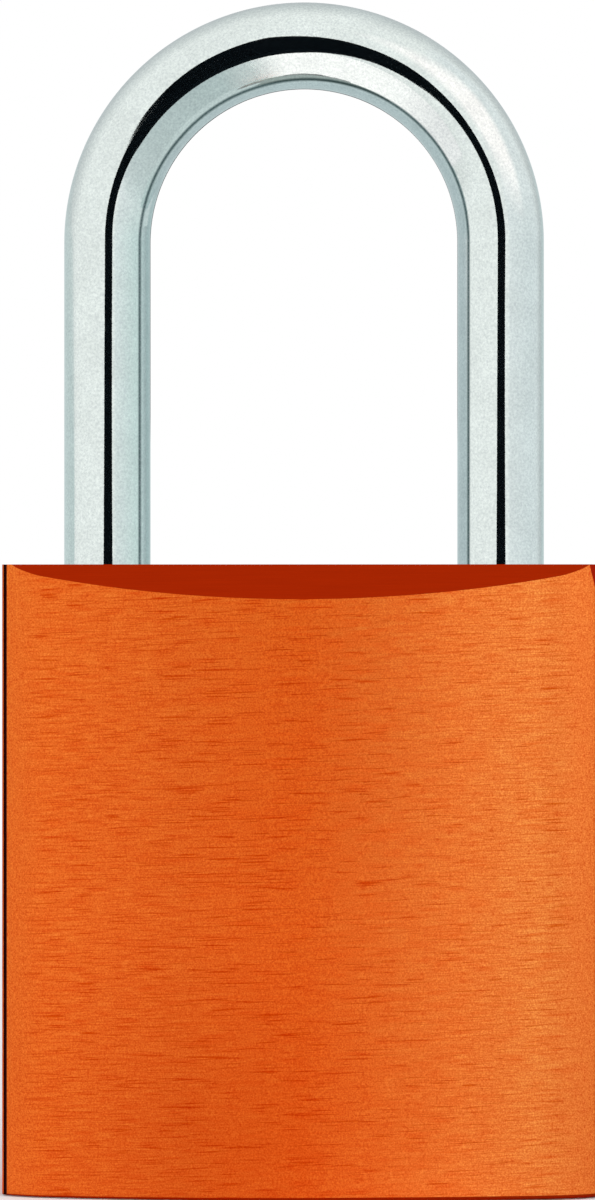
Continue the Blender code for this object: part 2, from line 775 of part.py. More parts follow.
make_body()
make_shackle()
make_case()
make_plug(plug_axis)
make_key_pins(plug_axis)
make_driver_pins()
make_driver_springs()
make_spring_cover()
make_plug_clip(plug_axis)
make_cam_plate(plug_axis)
make_bolt("bolt_heel", -1)
make_bolt("bolt_toe", 1)
make_shackle_spring()
make_retaining_pin()
make_cylinder_screw()
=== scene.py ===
import math

import bmesh
import bpy
from mathutils import Matrix, Vector


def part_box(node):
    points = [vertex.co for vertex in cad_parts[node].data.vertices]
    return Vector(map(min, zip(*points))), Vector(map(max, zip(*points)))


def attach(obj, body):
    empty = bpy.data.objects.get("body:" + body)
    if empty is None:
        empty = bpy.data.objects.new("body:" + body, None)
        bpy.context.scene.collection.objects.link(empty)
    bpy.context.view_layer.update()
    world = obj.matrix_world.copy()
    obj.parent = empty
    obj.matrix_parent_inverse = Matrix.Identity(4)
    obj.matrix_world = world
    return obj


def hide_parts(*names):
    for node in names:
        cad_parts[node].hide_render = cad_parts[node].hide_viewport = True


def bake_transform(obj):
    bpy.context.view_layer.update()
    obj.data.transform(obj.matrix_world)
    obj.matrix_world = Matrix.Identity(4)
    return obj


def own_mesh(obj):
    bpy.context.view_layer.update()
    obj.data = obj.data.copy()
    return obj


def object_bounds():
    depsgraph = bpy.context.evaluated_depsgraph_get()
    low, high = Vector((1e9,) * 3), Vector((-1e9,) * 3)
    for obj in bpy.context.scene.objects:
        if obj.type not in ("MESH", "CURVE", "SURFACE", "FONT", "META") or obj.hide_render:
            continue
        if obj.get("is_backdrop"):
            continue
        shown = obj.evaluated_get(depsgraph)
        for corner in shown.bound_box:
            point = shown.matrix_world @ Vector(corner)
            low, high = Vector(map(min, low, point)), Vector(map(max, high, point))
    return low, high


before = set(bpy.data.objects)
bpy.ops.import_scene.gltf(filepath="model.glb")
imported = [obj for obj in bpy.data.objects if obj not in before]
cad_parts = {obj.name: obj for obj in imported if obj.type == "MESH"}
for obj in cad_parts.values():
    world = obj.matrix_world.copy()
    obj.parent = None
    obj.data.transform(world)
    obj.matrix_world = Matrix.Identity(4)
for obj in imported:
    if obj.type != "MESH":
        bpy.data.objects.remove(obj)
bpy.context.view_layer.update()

# The body is one block of aluminium, extruded with crowned front and back faces and cut to length.
# Its top edges are milled to plane chamfers, it is brushed crosswise and then anodised orange.
# A line is scored beside each vertical corner. Bores and the cylinder's well are cut from both ends.
# The chamfers, bores, eased corners, broken base edge and scored lines are painted darker as shade.
MM = 0.001
_, body_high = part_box("body")
body_half_width = body_high.x
body_half_depth = body_high.y
body_height = body_high.z
face_crown = 1.87 * MM
fall_start = 2.2 * MM
fall_radius = 4.65 * MM
top_half_depth = 5.15 * MM
chamfer_drop = 1.78 * MM
base_break_left = 0.08 * MM
base_break_right = 0.21 * MM
base_break_reach = 20 * MM
corner_round = 0.075 * MM
score_width = 0.18 * MM
score_depth = 0.1 * MM
score_inset = 0.08 * MM
filed_tip = Vector((14.74, -5.283, 32.19)) * MM
filed_slope = (0.85, -0.45, 0.136)
merge_distance = 0.001 * MM

# The block's finishes, in the order in which it takes them. The milled, scored, eased and foot ones are
# darker as painted shade.
BRUSHED, MILLED_SHADE, SCORED_SHADE, EASED_SHADE, FOOT_SHADE, FACED, TOP, SIDE = range(8)


def finish(name, colour, metallic, roughness):
    """A new material with its tree and shader, to which the grain is added."""
    material = bpy.data.materials.new(name)
    material.use_nodes = True
    shader = material.node_tree.nodes["Principled BSDF"]
    shader.inputs["Base Color"].default_value = (*colour, 1)
    shader.inputs["Metallic"].default_value = metallic
    shader.inputs["Roughness"].default_value = roughness
    return material, material.node_tree, shader


def grain(tree, lengths, detail=2.0, tilt=0.0):
    """Noise whose grains have these lengths along X, Y and Z, tilted in the front plane."""
    place = tree.nodes.new("ShaderNodeTexCoord")
    mapping = tree.nodes.new("ShaderNodeMapping")
    mapping.vector_type = "TEXTURE"
    mapping.inputs["Rotation"].default_value = (0, tilt, 0)
    mapping.inputs["Scale"].default_value = lengths
    noise = tree.nodes.new("ShaderNodeTexNoise")
    noise.inputs["Scale"].default_value = 1
    noise.inputs["Detail"].default_value = detail
    tree.links.new(place.outputs["Object"], mapping.inputs["Vector"])
    tree.links.new(mapping.outputs["Vector"], noise.inputs["Vector"])
    return noise.outputs["Fac"]


def ranged(tree, factor, low, high, to_low=0.0, to_high=1.0):
    """The factor's stretch from low to high, spread over to_low to to_high and held beyond."""
    node = tree.nodes.new("ShaderNodeMapRange")
    for socket, value in zip(("From Min", "From Max", "To Min", "To Max"), (low, high, to_low, to_high)):
        node.inputs[socket].default_value = value
    tree.links.new(factor, node.inputs["Value"])
    return node.outputs["Result"]


def mixed(tree, factor, first, second):
    """A colour between two, each a socket or a plain colour."""
    node = tree.nodes.new("ShaderNodeMix")
    node.data_type = "RGBA"
    tree.links.new(factor, node.inputs["Factor"])
    for socket, colour in zip(("A", "B"), (first, second)):
        target = next(s for s in node.inputs if s.name == socket and s.type == "RGBA")
        if isinstance(colour, bpy.types.NodeSocket):
            tree.links.new(colour, target)
        else:
            target.default_value = (*colour, 1)
    return next(s for s in node.outputs if s.type == "RGBA")


def bumped(tree, shader, height, depth):
    """Raises the shading by the height socket, over a depth in metres."""
    node = tree.nodes.new("ShaderNodeBump")
    node.inputs["Strength"].default_value = 1
    node.inputs["Distance"].default_value = depth
    tree.links.new(height, node.inputs["Height"])
    tree.links.new(node.outputs["Normal"], shader.inputs["Normal"])


def tinted(tree, factor, colour, low, high):
    """The colour times a tint between low and high."""
    node = tree.nodes.new("ShaderNodeMix")
    node.data_type = "RGBA"
    node.blend_type = "MULTIPLY"
    node.inputs["Factor"].default_value = 1
    first, second = (s for s in node.inputs if s.type == "RGBA")
    tree.links.new(colour, first)
    tree.links.new(mixed(tree, factor, low, high), second)
    return next(s for s in node.outputs if s.type == "RGBA")


def ramped(tree, factor, stops):
    """A colour that runs through (place, colour) stops."""
    low, high = stops[0][0], stops[-1][0]
    node = tree.nodes.new("ShaderNodeValToRGB")
    elements = node.color_ramp.elements
    for place, colour in stops[1:-1]:
        elements.new((place - low) / (high - low)).color = (*colour, 1)
    elements[0].color = (*stops[0][1], 1)
    elements[-1].color = (*stops[-1][1], 1)
    tree.links.new(ranged(tree, factor, low * MM, high * MM), node.inputs["Fac"])
    return node.outputs["Color"]


def reckoned(tree, operation, *values):
    """What a sum, product or other operation makes of one or two sockets."""
    node = tree.nodes.new("ShaderNodeMath")
    node.operation = operation
    for value, socket in zip(values, node.inputs):
        tree.links.new(value, socket)
    return node.outputs["Value"]


def times(tree, first, second):
    return reckoned(tree, "MULTIPLY", first, second)


def position(tree):
    """The place on the piece, as its X, Y and Z."""
    place = tree.nodes.new("ShaderNodeTexCoord")
    split = tree.nodes.new("ShaderNodeSeparateXYZ")
    tree.links.new(place.outputs["Object"], split.inputs["Vector"])
    return split.outputs["X"], split.outputs["Y"], split.outputs["Z"]


def brushed_orange_and_painted_light():
    """Short crosswise brush marks under the anodising, a few of them deep and dark, that die out at the
    corners.

    The deep ones lie closer at -X. Painted light makes the orange a little paler towards the corners, most
    of all at +X.
    On the left, painted light makes it paler towards the top and painted shade makes it deeper at the foot.
    """
    material, tree, shader = finish("orange_brushed_and_painted_light", (0.79, 0.11, 0.011), 0.5, 0.4)
    shader.inputs["Specular IOR Level"].default_value = 0.15
    shader.inputs["Specular Tint"].default_value = (1, 0.45, 0.15, 1)
    across, _, up = position(tree)
    # Painted light: the orange is deeper left of the middle and paler towards the corners, most of all at
    # +X.
    level = ramped(
        tree,
        across,
        [
            (-15.3, (0.80, 0.146, 0.0165)),
            (-6.0, (0.722, 0.119, 0.0126)),
            (0.3, (0.776, 0.115, 0.0108)),
            (8.0, (0.89, 0.195, 0.030)),
            (12.0, (0.87, 0.225, 0.039)),
            (15.3, (0.70, 0.14, 0.020)),
        ],
    )
    # Painted light makes the face paler towards the top, and painted shade makes it deeper at the foot,
    # mostly on the left.
    left = ranged(tree, across, 13 * MM, -2 * MM)
    foot = times(tree, ranged(tree, up, 14 * MM, 4 * MM), left)
    painted_foot_shade_mask = times(tree, foot, ranged(tree, across, -14 * MM, -5 * MM, 0.45, 1))
    painted_top_light_mask = times(tree, ranged(tree, up, 18 * MM, 31 * MM), left)
    dye_and_painted_top_light = tinted(tree, painted_top_light_mask, level, (1, 1, 1), (1.03, 1.09, 1.1))
    dye_and_painted_light = tinted(tree, painted_foot_shade_mask, dye_and_painted_top_light, (1, 1, 1), (0.87, 0.76, 0.63))
    tilt = math.radians(-2)
    strokes = grain(tree, (1.3 * MM, 1.3 * MM, 0.08 * MM), 3, tilt)
    deep_strokes = grain(tree, (1.6 * MM, 1.6 * MM, 0.07 * MM), 0, tilt)
    more_left = ranged(tree, across, 4 * MM, -6 * MM, 0, 0.04)
    dashes = ranged(tree, reckoned(tree, "ADD", deep_strokes, more_left), 0.66, 0.80)
    speckle = ranged(tree, grain(tree, (0.075 * MM,) * 3, 1), 0.2, 0.8)
    stroke = ranged(tree, strokes, 0.25, 0.75)
    mild = tinted(tree, stroke, dye_and_painted_light, (0.97, 0.77, 0.62), (1.03, 1.18, 1.28))
    strong = tinted(tree, stroke, dye_and_painted_light, (0.92, 0.58, 0.40), (1.065, 1.34, 1.55))
    reach = reckoned(tree, "ABSOLUTE", across)
    beside = ranged(tree, reach, 3 * MM, 9 * MM)
    inside = ranged(tree, reach, 14.8 * MM, 13 * MM)
    fine = tinted(tree, speckle, mixed(tree, beside, mild, strong), (0.85, 0.46, 0.30), (1.13, 1.52, 1.8))
    matt = tinted(tree, speckle, dye_and_painted_light, (0.82, 0.34, 0.2), (1.16, 1.68, 2.1))
    brushed = mixed(tree, inside, matt, fine)
    colour = tinted(tree, times(tree, dashes, inside), brushed, (1, 1, 1), (0.82, 0.46, 0.15))
    tree.links.new(colour, shader.inputs["Base Color"])
    tree.links.new(ranged(tree, strokes, 0.3, 0.7, 0.46, 0.36), shader.inputs["Roughness"])
    bumped(tree, shader, strokes, 0.002 * MM)
    return material


def milled_orange(name, tone, lengths=(3.0, 0.04, 0.04), spread=0.05, glance=(0.9, 0.2, 0.02)):
    """Fine cutter or drawing lines under the anodising, of these lengths in millimetres.

    Seen at a low angle, the surface turns to the glance colour.
    """
    material, tree, shader = finish(name, tone, 0.9, 0.4)
    shader.inputs["Specular IOR Level"].default_value = 0.1
    shader.inputs["Specular Tint"].default_value = (*glance, 1)
    lines = grain(tree, [length * MM for length in lengths], 2)
    deep, light = (tuple(part * share for part in tone) for share in (1 - spread, 1 + spread))
    tree.links.new(mixed(tree, ranged(tree, lines, 0.3, 0.7), deep, light), shader.inputs["Base Color"])
    tree.links.new(ranged(tree, lines, 0.3, 0.7, 0.46, 0.38), shader.inputs["Roughness"])
    bumped(tree, shader, lines, 0.002 * MM)
    return material


def scored_painted_shade():
    """The scored line is painted nearly black, as painted shade in the groove."""
    material, tree, shader = finish("orange_scored_painted_shade", (0.02, 0.0005, 0.0005), 0.2, 0.6)
    shader.inputs["Specular IOR Level"].default_value = 0
    patches = grain(tree, (0.2 * MM, 0.2 * MM, 1.5 * MM), 2)
    colour = mixed(tree, ranged(tree, patches, 0.35, 0.7), (0.014, 0.0004, 0.0004), (0.035, 0.001, 0.0006))
    tree.links.new(colour, shader.inputs["Base Color"])
    return material


def turned(profile, steps):
    """A bmesh turned about Z from (radius, height) points that run from axis to axis."""
    bm = bmesh.new()
    points = [bm.verts.new((radius, 0, height)) for radius, height in profile]
    line = [bm.edges.new(pair) for pair in zip(points, points[1:])]
    bmesh.ops.spin(
        bm,
        geom=points + line,
        cent=(0, 0, 0),
        axis=(0, 0, 1),
        angle=2 * math.pi,
        steps=steps,
        use_merge=True,
    )
    bmesh.ops.remove_doubles(bm, verts=bm.verts, dist=merge_distance)
    bmesh.ops.recalc_face_normals(bm, faces=bm.faces)
    return bm


def placed(bm, x=0.0, y=0.0, z=0.0, turn=None):
    """Turns the bmesh about the origin, then moves it."""
    if turn:
        bmesh.ops.rotate(bm, verts=bm.verts, matrix=turn)
    bmesh.ops.translate(bm, verts=bm.verts, vec=(x, y, z))
    return bm


def piece(name, bm, *finishes):
    """A new object at the origin, made from the bmesh."""
    mesh = bpy.data.meshes.new(name)
    bm.to_mesh(mesh)
    bm.free()
    for material in finishes:
        mesh.materials.append(material)
    obj = bpy.data.objects.new(name, mesh)
    bpy.context.scene.collection.objects.link(obj)
    return obj


def settled(obj):
    """Puts what the object's modifiers make into its mesh."""
    bpy.context.view_layer.update()
    shape = bpy.data.meshes.new_from_object(obj.evaluated_get(bpy.context.evaluated_depsgraph_get()))
    obj.modifiers.clear()
    obj.data = shape
    shape.name = obj.name
    return obj


def carved(obj, *cutters):
    """Cuts each bmesh out of the object."""
    for bm in cutters:
        tool = piece(f"{obj.name}_cutter", bm, *obj.data.materials)
        cut = obj.modifiers.new("cut", "BOOLEAN")
        cut.object = tool
        settled(obj)
        bpy.data.objects.remove(tool)
    return obj


def smoothed(obj, angle=30):
    """Shades the round faces smooth and keeps the flat ones flat."""
    obj.data.shade_smooth()
    obj.data.set_sharp_from_angle(angle=math.radians(angle))
    even = obj.modifiers.new("even", "WEIGHTED_NORMAL")
    even.keep_sharp = True
    return settled(obj)


def painted(bm, finish_index):
    """Gives every face one of the piece's finishes."""
    for face in bm.faces:
        face.material_index = finish_index
    return bm


def only(kind, geom):
    """The elements of one kind among those that an operator gives back."""
    return [item for item in geom if isinstance(item, kind)]


def raised(outline, low, high):
    """A flat outline of (x, y) points, raised from low to high."""
    bm = bmesh.new()
    base = bm.faces.new([bm.verts.new((x, y, low)) for x, y in outline])
    grown = bmesh.ops.extrude_face_region(bm, geom=[base])["geom"]
    bmesh.ops.translate(bm, verts=only(bmesh.types.BMVert, grown), vec=(0, 0, high - low))
    bmesh.ops.recalc_face_normals(bm, faces=bm.faces)
    return bm


def face_back(x):
    """How far the crowned faces lie behind their middle: a shallow arc that falls away near the corners."""
    radius = (body_half_width**2 + face_crown**2) / (2 * face_crown)
    past = max(0, abs(x) - body_half_width + fall_start)
    return radius - math.sqrt(radius**2 - x**2) + past**2 / (2 * fall_radius)


def base_break(x):
    """The broken edge of the base, fine at the left end and full from just past the middle on."""
    share = min(1, (x + body_half_width) / base_break_reach)
    return base_break_left + (base_break_right - base_break_left) * share


def body_block():
    """The crowned block: its corners rounded, its base edge broken and its top edges milled."""
    steps = 120
    places = [body_half_width * (2 * i / steps - 1) for i in range(steps + 1)]
    front = [(x, face_back(x) - body_half_depth) for x in places]
    bm = raised(front + [(-x, -y) for x, y in front], 0, body_height)
    corners = [
        edge
        for edge in bm.edges
        if all(abs(abs(v.co.x) - body_half_width) < merge_distance for v in edge.verts)
        and abs(edge.verts[0].co.z - edge.verts[1].co.z) > MM
    ]
    rounded = bmesh.ops.bevel(
        bm, geom=corners, offset=corner_round, segments=6, profile=0.5, affect="EDGES", material=-1
    )
    for face in rounded["faces"]:
        face.material_index = EASED_SHADE
    base = next(face for face in bm.faces if face.normal.z < -0.9)
    for corner in base.verts:
        corner.co.z = base_break(corner.co.x)
    last = 0
    for turn in (math.radians(angle) for angle in (22.5, 45, 67.5, 90)):
        grown = bmesh.ops.extrude_face_region(bm, geom=[base])["geom"]
        bmesh.ops.delete(bm, geom=[base], context="FACES_ONLY")
        base = only(bmesh.types.BMFace, grown)[0]
        for corner in base.verts:
            size = base_break(corner.co.x)
            before, after = size * (1 - math.cos(last)), size * (1 - math.cos(turn))
            corner.co.x *= (body_half_width - after) / (body_half_width - before)
            corner.co.y *= (body_half_depth - after) / (body_half_depth - before)
            corner.co.z = size * (1 - math.sin(turn))
        for edge in base.edges:
            for face in edge.link_faces:
                face.material_index = FOOT_SHADE
        last = turn
    slope_depth = body_half_depth - top_half_depth
    chamfers = [
        ((0, side * top_half_depth, body_height), (0, side * chamfer_drop, slope_depth)) for side in (-1, 1)
    ]
    for point, slope in chamfers + [(filed_tip, filed_slope)]:
        trimmed = bmesh.ops.bisect_plane(
            bm,
            geom=bm.verts[:] + bm.edges[:] + bm.faces[:],
            dist=0.0001 * MM,
            plane_co=point,
            plane_no=slope,
            clear_outer=True,
        )
        rim = only(bmesh.types.BMEdge, trimmed["geom_cut"])
        for face in bmesh.ops.edgenet_fill(bm, edges=rim)["faces"]:
            face.material_index = MILLED_SHADE
    bmesh.ops.recalc_face_normals(bm, faces=bm.faces)
    for face in bm.faces:
        if abs(face.normal.z) > 0.9:
            face.material_index = TOP if face.normal.z > 0 else FACED
        elif abs(face.normal.x) > 0.9 and face.material_index == BRUSHED:
            face.material_index = SIDE
    return bm


def scored_line(side, face):
    """A cutter for the narrow V beside a corner: face is -1 on the front and 1 on the back."""
    x = body_half_width - score_inset - score_width / 2
    surface = body_half_depth - face_back(x)
    fall = face_back(x + score_width) - face_back(x)
    section = [
        (x, surface - score_depth),
        (x - score_width, surface + fall + score_depth),
        (x + score_width, surface - fall + score_depth),
    ]
    return raised([(side * x, face * y) for x, y in section], -MM, body_height + MM)


shackle_low, shackle_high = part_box("shackle")
rod_radius = shackle_high.y
leg_x = shackle_high.x - rod_radius
case_low, case_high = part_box("cylinder_case")
barrel_radius = case_high.y
plug_x = case_low.x + barrel_radius
bore_radius = rod_radius + 0.25 * MM
mouth_radius = bore_radius + 0.25 * MM
heel_floor = 3.0 * MM
toe_floor = 24.2 * MM
tower_half_width = 2.6 * MM
tower_corner = 0.8 * MM
well_gap = 0.2 * MM
cam_chamber_radius = 4.9 * MM
cam_chamber_top = 27.0 * MM
bolt_z = 28.0 * MM
bolt_bore_radius = 1.6 * MM
pin_z = 21.2 * MM
pin_hole_radius = 0.9 * MM
screw_x = 9.4 * MM
screw_seat = 22.4 * MM
screw_head_hole = 1.8 * MM
screw_shank_hole = 1.15 * MM
wide_steps = 96
corner_steps = 8
along_x = Matrix.Rotation(math.radians(90), 3, "Y")


def arc(centre, radius, start, end, steps):
    """Points on an arc from one angle to another, in degrees."""
    turns = [math.radians(start + (end - start) * i / steps) for i in range(steps + 1)]
    return [(centre[0] + radius * math.cos(turn), centre[1] + radius * math.sin(turn)) for turn in turns]


def case_outline(gap):
    """The barrel and its pin tower in the plan, about the plug's axis, with a gap all round."""
    radius = barrel_radius + gap
    half_width = tower_half_width + gap
    end = case_high.x - plug_x + gap
    corner = tower_corner + gap
    root = math.degrees(math.asin(half_width / radius))
    return (
        arc((0, 0), radius, root, 360 - root, wide_steps)
        + arc((end - corner, corner - half_width), corner, -90, 0, corner_steps)
        + arc((end - corner, half_width - corner), corner, 0, 90, corner_steps)
    )


def drilled(radius, low, high, steps=64):
    """A cutter for a plain hole along Z."""
    return turned([(0, high), (radius, high), (radius, low), (0, low)], steps)


def leg_bore(x, floor):
    """A cutter for a leg's bore, wider at its mouth."""
    above = body_height + MM
    rim = body_height - mouth_radius + bore_radius
    profile = [(mouth_radius, above), (mouth_radius, body_height), (bore_radius, rim), (bore_radius, floor)]
    return placed(turned([(0, above), *profile, (0, floor)], wide_steps), x)


def body_hollows():
    """Cutters for all that is drilled and milled into the block."""
    case_top = case_high.z
    return [
        leg_bore(-leg_x, heel_floor),
        leg_bore(leg_x, toe_floor),
        placed(raised(case_outline(well_gap), -MM, case_top + well_gap), plug_x),
        placed(drilled(cam_chamber_radius, case_top, cam_chamber_top, wide_steps), plug_x),
        placed(drilled(bolt_bore_radius, -leg_x, leg_x), z=bolt_z, turn=along_x),
        placed(drilled(pin_hole_radius, -leg_x, plug_x), z=pin_z, turn=along_x),
        placed(drilled(screw_head_hole, screw_seat, toe_floor + 0.5 * MM), screw_x),
        placed(drilled(screw_shank_hole, case_top, screw_seat + 0.1 * MM), screw_x),
    ]


body = piece(
    "body_block",
    body_block(),
    # The brushed faces' orange carries painted light and painted shade.
    brushed_orange_and_painted_light(),
    # Painted shade: the milled chamfers and bores, the eased corners and the foot are deeper in tone than
    # the brushed faces.
    milled_orange("orange_milled_painted_shade", (0.41, 0.0235, 0.0011)),
    # Painted shade: the scored lines are nearly black.
    scored_painted_shade(),
    milled_orange("orange_eased_painted_shade", (0.58, 0.058, 0.006)),
    milled_orange("orange_foot_painted_shade", (0.36, 0.019, 0.0008)),
    milled_orange("orange_faced", (0.70, 0.092, 0.008)),
    milled_orange("orange_top", (0.62, 0.092, 0.008), glance=(1, 0.5, 0.2)),
    milled_orange("orange_side", (0.74, 0.125, 0.013), (0.06, 0.06, 5.0), 0.14),
)
for side in (-1, 1):
    carved(body, *(painted(scored_line(side, face), SCORED_SHADE) for face in (-1, 1)))
carved(body, *(painted(cutter, MILLED_SHADE) for cutter in body_hollows()))
smoothed(body, 25)
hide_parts("body")
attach(body, "body")
# In the chrome, a grey card stands for the body's top.
body.visible_glossy = False

# The shackle is a round steel bar, bent to a U, notched for the two bolts and plated with polished chrome.
# Its heel leg is turned down to a neck, so that it stays in the body when the shackle is lifted.
bow_z = shackle_high.z - leg_x - rod_radius
toe_end = 24.6 * MM
neck_top = 22.4 * MM
neck_radius = 1.2 * MM
neck_fillet = 0.4 * MM
collar_top = 12.1 * MM
end_break = 0.45 * MM
notch_floor = 9.1 * MM
notch_half_height = 1.7 * MM
rod_sides = 96
bow_steps = 120


def distance(tree, vector):
    """How far the point lies from the origin."""
    node = tree.nodes.new("ShaderNodeVectorMath")
    node.operation = "LENGTH"
    tree.links.new(vector, node.inputs[0])
    return node.outputs["Value"]


def chrome():
    """Bright plating with a fine speckle and tiny pits, greyer on the inner side of the U as painted shade.

    A thin dark line along that side is a painted reflection.
    As painted shade, the heel leg is a little darker inside, the toe leg outside.
    """
    bright = (0.77, 0.84, 0.81)
    material, tree, shader = finish("chrome_plate", bright, 1, 0.04)
    across, _, up = position(tree)
    above = ranged(tree, up, bow_z, bow_z + leg_x, 0, leg_x)
    reach = tree.nodes.new("ShaderNodeCombineXYZ")
    tree.links.new(across, reach.inputs["X"])
    tree.links.new(above, reach.inputs["Z"])
    from_axis = distance(tree, reach.outputs["Vector"])
    heel_side = ranged(tree, across, 0.9 * leg_x, -0.2 * leg_x)
    drift = ranged(tree, up, bow_z, bow_z + 5.5 * MM, 0.055 * rod_radius, 0.115 * rod_radius)
    from_centre = reckoned(tree, "ADD", from_axis, times(tree, heel_side, drift))
    inward = ranged(tree, from_centre, leg_x, leg_x - rod_radius)
    # Painted shade: the plating turns greyer towards the inner side of the U.
    plate_and_painted_shade = mixed(tree, ranged(tree, inward, 0.7, 0.82), bright, (0.62, 0.70, 0.70))
    # Painted shade: the heel leg is darker on its inner side, the toe leg on its outer side.
    legs = ranged(tree, up, bow_z + 4 * MM, bow_z)
    heel_leg = times(tree, legs, ranged(tree, across, 0, -3 * MM))
    heel_inner = times(tree, heel_leg, ranged(tree, inward, 0.1, 0.65))
    heel_shaded = tinted(tree, heel_inner, plate_and_painted_shade, (1, 1, 1), (0.76, 0.88, 0.86))
    outward = ranged(tree, across, leg_x, leg_x + rod_radius)
    toe_outer = times(tree, legs, ranged(tree, outward, 0.1, 0.65))
    shaded = tinted(tree, toe_outer, heel_shaded, (1, 1, 1), (0.89, 0.92, 0.93))
    # A painted reflection: a thin dark line along the inner side of the U.
    line_in = ranged(tree, inward, 0.69, 0.728)
    line_out = ranged(tree, inward, 0.785, 0.747)
    painted_reflection_line = mixed(tree, times(tree, line_in, line_out), shaded, (0.085, 0.135, 0.135))
    pits = grain(tree, (0.07 * MM,) * 3, 2)
    speckle = ranged(tree, grain(tree, (0.12 * MM,) * 3, 2), 0.2, 0.8)
    clouds = grain(tree, (1.6 * MM,) * 3, 3)
    cloudy = tinted(tree, ranged(tree, clouds, 0.3, 0.7), painted_reflection_line, (0.94, 0.94, 0.94), (1.03, 1.03, 1.03))
    speckled = tinted(tree, speckle, cloudy, (0.80, 0.81, 0.82), (1.19, 1.18, 1.17))
    colour = mixed(tree, ranged(tree, pits, 0.5, 0.8, 0, 0.5), speckled, (0.5, 0.52, 0.58))
    tree.links.new(colour, shader.inputs["Base Color"])
    tree.links.new(ranged(tree, clouds, 0.3, 0.7, 0.02, 0.05), shader.inputs["Roughness"])
    bumped(tree, shader, pits, 0.0004 * MM)
    return material


def drawn_down(bm, loop, x, steps):
    """Runs an end ring of the bar on through (radius, height) steps, and closes it."""
    for radius, height in steps:
        grown = bmesh.ops.extrude_edge_only(bm, edges=loop)["geom"]
        ring = set(only(bmesh.types.BMVert, grown))
        loop = [edge for edge in only(bmesh.types.BMEdge, grown) if ring.issuperset(edge.verts)]
        sample = next(iter(ring)).co
        ratio = radius / math.hypot(sample.x - x, sample.y)
        drop = height - sample.z
        bmesh.ops.scale(bm, verts=list(ring), vec=(ratio, ratio, 1), space=Matrix.Translation((-x, 0, 0)))
        bmesh.ops.translate(bm, verts=list(ring), vec=(0, 0, drop))
    bmesh.ops.edgeloop_fill(bm, edges=loop)


def rounded_end(end):
    """(radius, height) steps of a leg's rounded end."""
    return arc((rod_radius - end_break, end + end_break), end_break, 0, -90, 6)


def bent_bar():
    """The U, swept from the heel side over the bow, with both legs run down from it."""
    bm = bmesh.new()
    start = bmesh.ops.create_circle(bm, segments=rod_sides, radius=rod_radius)["verts"]
    bmesh.ops.translate(bm, verts=start, vec=(-leg_x, 0, bow_z))
    ring = list(bm.edges)
    swept = bmesh.ops.spin(
        bm, geom=ring, cent=(0, 0, bow_z), axis=(0, 1, 0), angle=math.pi, steps=bow_steps
    )["geom_last"]
    heel = [
        (rod_radius, neck_top),
        (neck_radius + neck_fillet, neck_top),
        (neck_radius, neck_top - neck_fillet),
        (neck_radius, collar_top + neck_fillet),
        (neck_radius + neck_fillet, collar_top),
        (rod_radius, collar_top),
    ] + rounded_end(shackle_low.z)
    drawn_down(bm, ring, -leg_x, heel)
    drawn_down(bm, only(bmesh.types.BMEdge, swept), leg_x, rounded_end(toe_end))
    bmesh.ops.recalc_face_normals(bm, faces=bm.faces)
    return bm


def block(low, high):
    """A box from its lowest to its highest corner."""
    low, high = Vector(low), Vector(high)
    bm = bmesh.new()
    bmesh.ops.create_cube(bm, size=1)
    bmesh.ops.scale(bm, verts=bm.verts, vec=high - low)
    return placed(bm, *((low + high) / 2))


def bolt_notch(side):
    """A cutter for the notch in a leg's inner side, into which a bolt slides."""
    near, far = sorted((side * (leg_x - 2 * rod_radius), side * notch_floor))
    low, high = bolt_z - notch_half_height, bolt_z + notch_half_height
    return block((near, -2 * rod_radius, low), (far, 2 * rod_radius, high))


shackle = piece("shackle_bar", bent_bar(), chrome())
smoothed(carved(shackle, bolt_notch(-1), bolt_notch(1)))
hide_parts("shackle")
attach(shackle, "shackle")
# The chrome shows the cards, and not its own bow.
shackle.visible_glossy = False

# The cylinder case is a brass barrel with a tower for the pins, bored, faced and nickel plated.
# It is pushed into the body from below, and its tower is closed by a plated brass strip over the springs.
ring_pitch = 0.05 * MM
fine_edge = 0.06 * MM
flat_angle = math.radians(1)
sharp_angle = math.radians(40)


def rings(tree):
    """Turning marks about the plug's axis."""
    place = tree.nodes.new("ShaderNodeTexCoord")
    mapping = tree.nodes.new("ShaderNodeMapping")
    mapping.inputs["Location"].default_value = (-plug_x, 0, 0)
    mapping.inputs["Scale"].default_value = (1, 1, 0)
    noise = tree.nodes.new("ShaderNodeTexNoise")
    noise.noise_dimensions = "1D"
    noise.inputs["Scale"].default_value = 1 / ring_pitch
    tree.links.new(place.outputs["Object"], mapping.inputs["Vector"])
    tree.links.new(distance(tree, mapping.outputs["Vector"]), noise.inputs["W"])
    return noise.outputs["Fac"]


def worked_metal(name, colour, dull, rough, mark_lengths=None):
    """Bare or plated metal with work marks, and dull clouds where it has been handled."""
    material, tree, shader = finish(name, colour, 1, rough)
    marks = grain(tree, mark_lengths, 3) if mark_lengths else rings(tree)
    clouds = grain(tree, (1.2 * MM,) * 3, 3)
    toned = mixed(tree, ranged(tree, clouds, 0.35, 0.7), colour, dull)
    marked = tinted(tree, ranged(tree, marks, 0.3, 0.7), toned, (0.88, 0.88, 0.88), (1.06, 1.06, 1.06))
    tree.links.new(marked, shader.inputs["Base Color"])
    tree.links.new(ranged(tree, clouds, 0.3, 0.7, rough - 0.06, rough + 0.1), shader.inputs["Roughness"])
    bumped(tree, shader, marks, 0.002 * MM)
    return material


